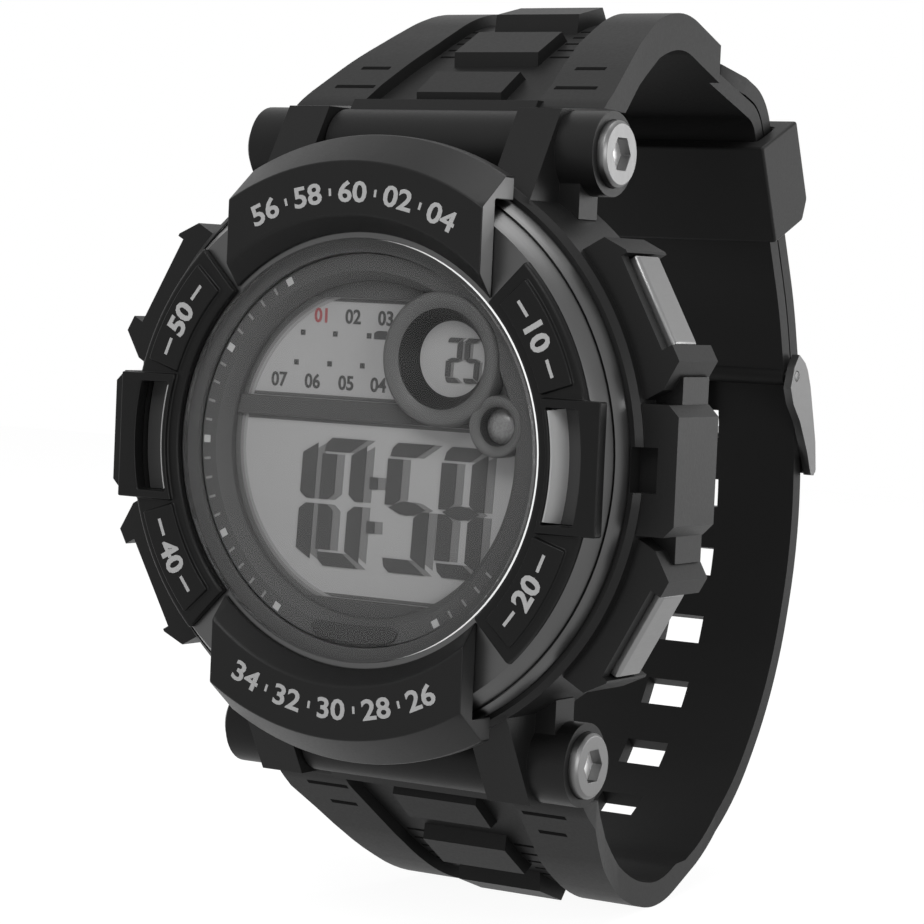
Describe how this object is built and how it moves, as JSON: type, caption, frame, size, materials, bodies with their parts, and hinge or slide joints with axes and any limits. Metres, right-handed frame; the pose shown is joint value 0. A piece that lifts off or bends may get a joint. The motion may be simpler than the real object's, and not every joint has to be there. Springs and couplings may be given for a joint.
{
  "type": "digital watch",
  "caption": "Round digital wristwatch with a shielded resin case, side push buttons, an LCD module and a buckled resin strap.",
  "frame": {"origin": "centre of the case back's outer face", "axes": "+Z to 12 o'clock, +X to 3 o'clock, +Y from the case into the wrist loop; the dial faces -Y"},
  "size_m": [0.0552, 0.0661, 0.0796],
  "materials": {
    "case_resin": "matte black resin",
    "plate_resin": "satin black resin",
    "cover_resin": "matte dark resin",
    "strap_resin": "soft black resin",
    "seal_rubber": "black seal rubber",
    "ring_metal": "satin gunmetal",
    "button_metal": "brushed grey",
    "steel_satin": "satin steel",
    "steel_bright": "polished steel",
    "spring_steel": "spring wire",
    "brass_plain": "plain brass",
    "slot_grey": "dark grey",
    "dial_grey": "dark grey print",
    "dial_black": "black",
    "lcd_grey": "display grey",
    "light_panel": "pale green sheet",
    "module_plastic": "cream moulding",
    "board_green": "green laminate",
    "watch_glass": "clear mineral glass"
  },
  "bodies": {
    "watch": {"backlight_panel": "light_panel", "battery": "steel_bright", "battery_clip": "steel_satin", "bezel_plate_bottom": "plate_resin", "bezel_plate_top": "plate_resin", "bezel_ring": "ring_metal", "button_seals": "seal_rubber", "button_spring_10h": "spring_steel", "button_spring_2h": "spring_steel", "button_spring_4h": "spring_steel", "button_spring_8h": "spring_steel", "buzzer_disc": "brass_plain", "buzzer_spring": "spring_steel", "case_back": "steel_satin", "case_back_gasket": "seal_rubber", "case_back_screws": "steel_bright", "case_middle": "case_resin", "chip_cap": "dial_black", "circuit_board": "board_green", "contact_tabs": "brass_plain", "dial_flange": "dial_black", "dial_mask": "dial_grey", "eye_ring": "steel_satin", "glass": "watch_glass", "glass_gasket": "seal_rubber", "lcd_connectors": "seal_rubber", "lcd_panel": "lcd_grey", "lug_pin_bottom": "steel_satin", "lug_pin_top": "steel_satin", "lug_screws": "steel_bright", "module_frame_front": "module_plastic", "module_frame_rear": "module_plastic", "quartz_crystal": "steel_bright", "side_cover_left": "cover_resin", "side_cover_right": "cover_resin", "slot_floors": "slot_grey", "slot_trims": "steel_bright", "small_ring": "steel_satin", "strap_lower": "strap_resin", "strap_upper": "strap_resin"},
    "button_2h": {"button_2h": "button_metal", "button_clip_2h": "steel_satin"},
    "button_4h": {"button_4h": "button_metal", "button_clip_4h": "steel_satin"},
    "button_8h": {"button_8h": "button_metal", "button_clip_8h": "steel_satin"},
    "button_10h": {"button_10h": "button_metal", "button_clip_10h": "steel_satin"},
    "keeper": {"keeper": "strap_resin"},
    "buckle_frame": {"buckle_frame": "steel_bright", "buckle_pin": "steel_satin"},
    "buckle_prong": {"buckle_prong": "steel_bright"}
  },
  "joints": [
    {"name": "button_2h_press", "type": "slide", "parent": "watch", "child": "button_2h", "axis": [-0.8738, 0, -0.4863], "range_m": [0, 0.0009], "stiffness_N_per_m": 2000, "springref_m": -0.0006, "deforming": ["button_spring_2h"]},
    {"name": "button_4h_press", "type": "slide", "parent": "watch", "child": "button_4h", "axis": [-0.8738, 0, 0.4863], "range_m": [0, 0.0009], "stiffness_N_per_m": 2000, "springref_m": -0.0006, "deforming": ["button_spring_4h"]},
    {"name": "button_8h_press", "type": "slide", "parent": "watch", "child": "button_8h", "axis": [0.8738, 0, 0.4863], "range_m": [0, 0.0009], "stiffness_N_per_m": 2000, "springref_m": -0.0006, "deforming": ["button_spring_8h"]},
    {"name": "button_10h_press", "type": "slide", "parent": "watch", "child": "button_10h", "axis": [0.8738, 0, -0.4863], "range_m": [0, 0.0009], "stiffness_N_per_m": 2000, "springref_m": -0.0006, "deforming": ["button_spring_10h"]},
    {"name": "keeper_slide", "type": "slide", "parent": "watch", "child": "keeper", "axis": [0, 0.3922, -0.9199], "range_m": [0, 0.0045]},
    {"name": "buckle_hinge", "type": "hinge", "parent": "watch", "child": "buckle_frame", "pos_m": [0, 0.04487, 0.00657], "axis": [1, 0, 0], "range_deg": [0, 4]},
    {"name": "prong_hinge", "type": "hinge", "parent": "buckle_frame", "child": "buckle_prong", "pos_m": [0, 0.04487, 0.00657], "axis": [1, 0, 0], "range_deg": [0, 2]}
  ]
}
